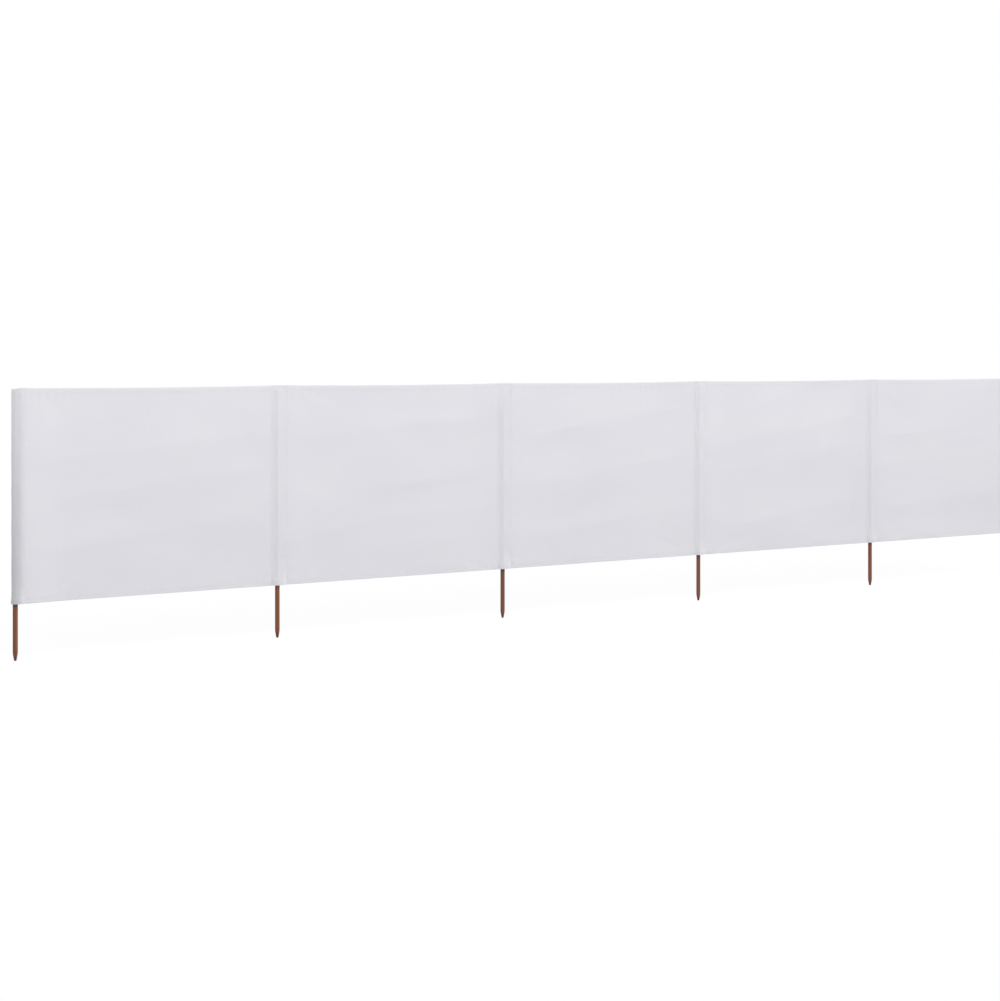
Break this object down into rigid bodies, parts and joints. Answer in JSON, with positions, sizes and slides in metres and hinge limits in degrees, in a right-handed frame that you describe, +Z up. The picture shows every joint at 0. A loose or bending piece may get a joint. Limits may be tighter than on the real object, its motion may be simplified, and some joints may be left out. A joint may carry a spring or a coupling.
{
  "type": "beach windbreak",
  "caption": "Long low cloth screen in bays, carried in sewn sleeves on round wooden poles with pointed legs that push into sand or soft ground to keep off the wind.",
  "frame": {"origin": "centre of the flat foot of the first pole, at the lowest point of the part", "axes": "+X along the screen from the first pole to the last, +Y through the cloth from front to back, +Z up the poles"},
  "size_m": [6, 0.0242, 1.2],
  "materials": {
    "cloth": "matt woven polyester, pale grey",
    "pole_wood": "stained brown, satin"
  },
  "bodies": {
    "root": {"pole_1": "pole_wood", "pole_sleeve_1": "cloth", "pole_2": "pole_wood", "pole_sleeve_2": "cloth", "pole_3": "pole_wood", "pole_sleeve_3": "cloth", "pole_4": "pole_wood", "pole_sleeve_4": "cloth", "pole_5": "pole_wood", "pole_sleeve_5": "cloth", "pole_6": "pole_wood", "pole_sleeve_6": "cloth", "cloth_panel_1": "cloth", "top_hem_1": "cloth", "bottom_hem_1": "cloth", "cloth_panel_2": "cloth", "top_hem_2": "cloth", "bottom_hem_2": "cloth", "cloth_panel_3": "cloth", "top_hem_3": "cloth", "bottom_hem_3": "cloth", "cloth_panel_4": "cloth", "top_hem_4": "cloth", "bottom_hem_4": "cloth", "cloth_panel_5": "cloth", "top_hem_5": "cloth", "bottom_hem_5": "cloth"}
  },
  "joints": []
}
